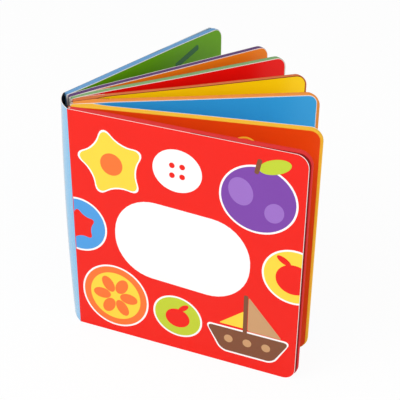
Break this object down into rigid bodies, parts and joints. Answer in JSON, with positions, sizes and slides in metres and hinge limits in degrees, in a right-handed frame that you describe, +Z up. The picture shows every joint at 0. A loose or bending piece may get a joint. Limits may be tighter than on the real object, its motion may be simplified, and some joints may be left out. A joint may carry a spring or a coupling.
{
  "type": "children's board book",
  "caption": "Thick foam-leaved children's board book with rounded fore corners, standing upright with its pages fanned; both covers turn on creases beside a hollow spine.",
  "frame": {"origin": "centre of the bounding box in plan, on the surface that the book stands on", "axes": "+Z up along the spine, +X along the front cover from its crease to its fore edge, front cover facing -Y"},
  "size_m": [0.1986, 0.1978, 0.19],
  "materials": {
    "page_boards": "satin",
    "wrap_card_spine": "gloss",
    "wrap_card_front": "gloss",
    "foam_front": "matte",
    "facing_front": "gloss",
    "wrap_card_back": "gloss",
    "foam_back": "matte",
    "facing_back": "gloss"
  },
  "bodies": {
    "book_block": {"page_block": "page_boards", "spine_card": "wrap_card_spine"},
    "front_cover": {"front_cover_card": "wrap_card_front", "front_cover_foam": "foam_front", "front_endpaper": "facing_front"},
    "back_cover": {"back_cover_card": "wrap_card_back", "back_cover_foam": "foam_back", "back_endpaper": "facing_back"}
  },
  "joints": [
    {"name": "front_cover_hinge", "type": "hinge", "parent": "book_block", "child": "front_cover", "pos_m": [-0.08315, -0.09888, 0], "axis": [0, 0, -1], "range_deg": [-4, 140]},
    {"name": "back_cover_hinge", "type": "hinge", "parent": "book_block", "child": "back_cover", "pos_m": [-0.09935, -0.07607, 0], "axis": [0, 0, 1], "range_deg": [-8, 135]}
  ]
}
